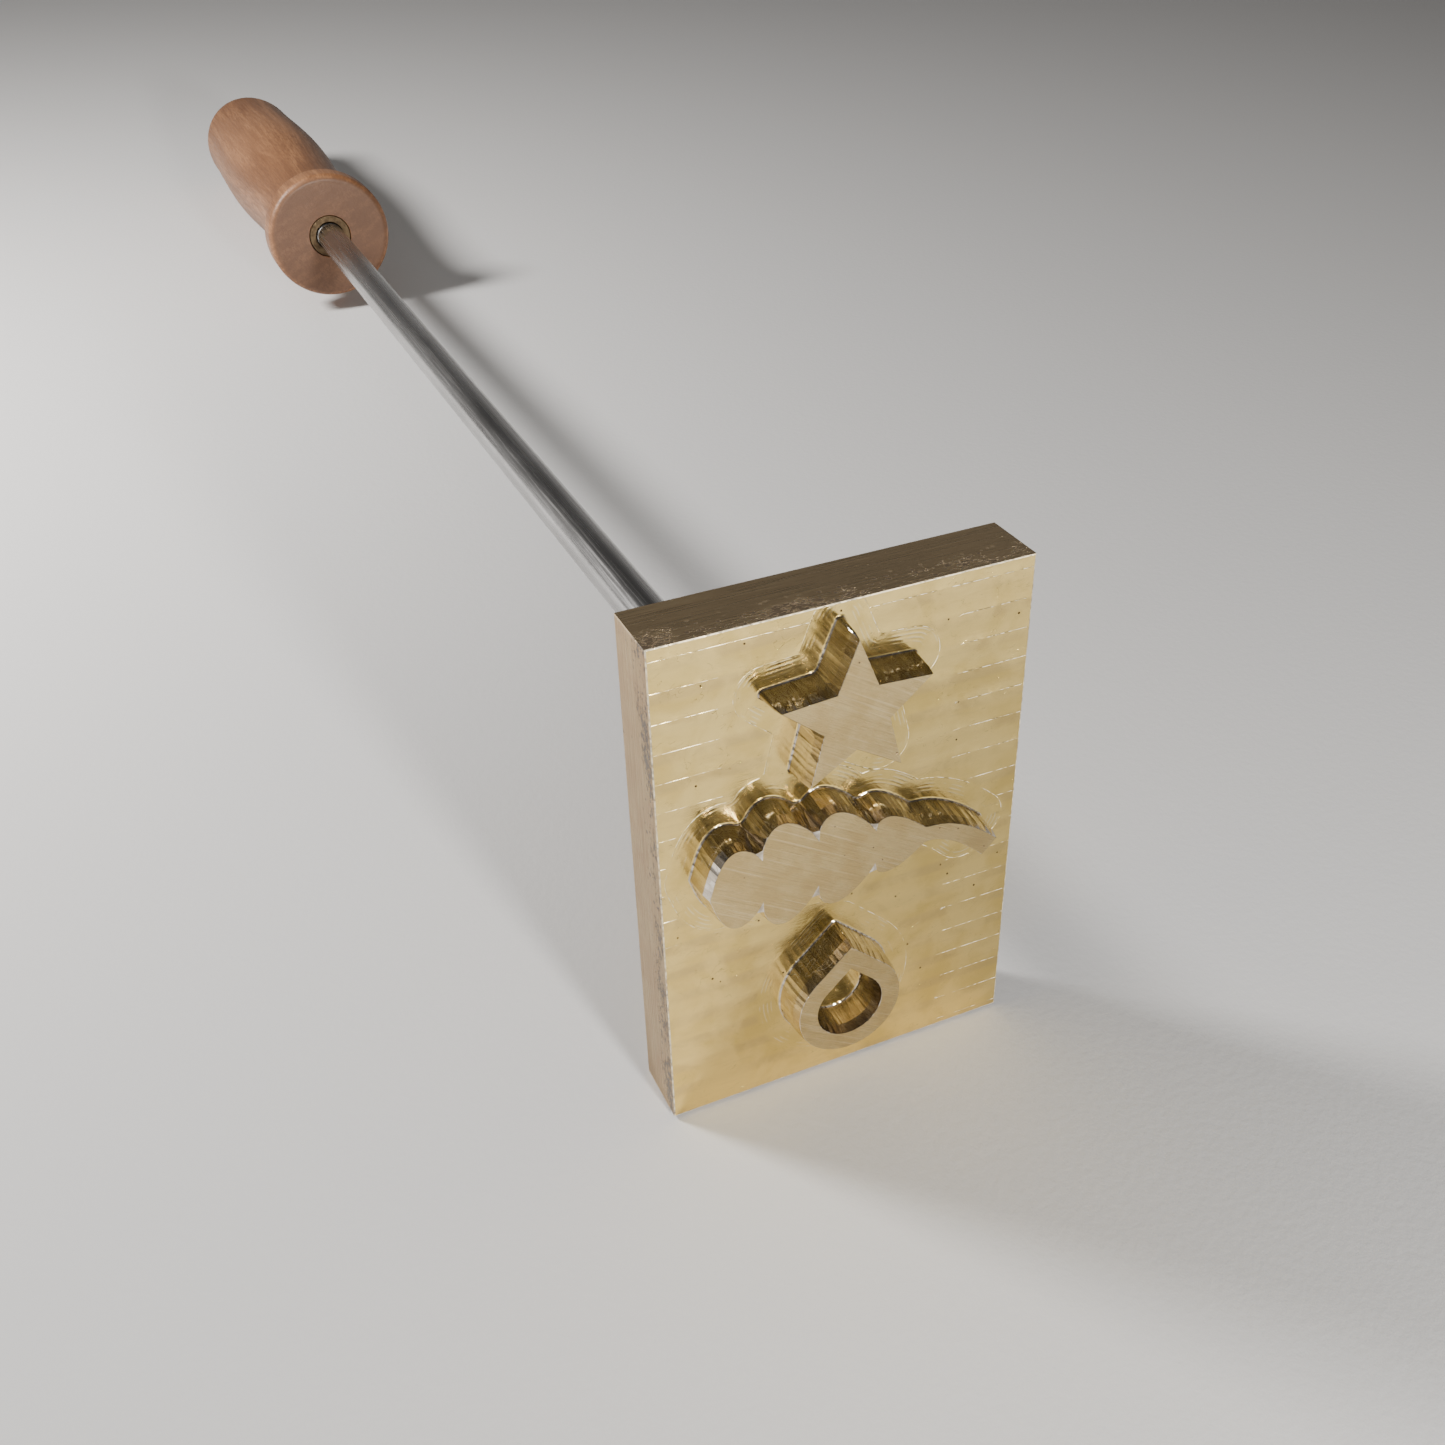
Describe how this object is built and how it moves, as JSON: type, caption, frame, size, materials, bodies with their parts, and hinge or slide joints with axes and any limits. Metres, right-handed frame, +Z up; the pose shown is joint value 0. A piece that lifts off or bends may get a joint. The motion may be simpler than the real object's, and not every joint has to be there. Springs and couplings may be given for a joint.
{
  "type": "leather stamping iron",
  "caption": "Brass stamping die with a raised relief, screwed to a slim steel rod with a turned wooden handle, lying as it rests on a bench.",
  "frame": {"origin": "middle of the footprint, on the floor that the tool lies on", "axes": "+Z up, -Y towards the die's stamping face, +Y towards the handle; the rod slopes down 2.9 degrees to the handle, as the tool rests on the die's lower back edge and on the handle"},
  "size_m": [0.0412, 0.3758, 0.0603],
  "materials": {
    "brass_die": "milled, satin",
    "steel_rod": "ground and polished",
    "zinc_hardware": "zinc plated",
    "brass_insert": "turned",
    "beech": "sanded, satin"
  },
  "bodies": {
    "shaft": {"rod": "steel_rod", "handle": "beech", "handle_insert": "brass_insert", "lock_nut": "zinc_hardware"},
    "washer": {"lock_washer": "zinc_hardware"},
    "die": {"stamp_plate": "brass_die"}
  },
  "joints": [
    {"name": "die_travel", "type": "slide", "parent": "shaft", "child": "washer", "axis": [0, -0.9987, 0.0509], "range_m": [0, 0.00601]},
    {"name": "die_turn", "type": "hinge", "parent": "washer", "child": "die", "pos_m": [0, -0.18265, 0.03036], "axis": [0, -0.9987, 0.0509], "range_deg": [0, 2160]}
  ],
  "couplings": [
    {"joint": "die_travel", "follows": "die_turn", "m_per_rad": 0.00015915}
  ]
}
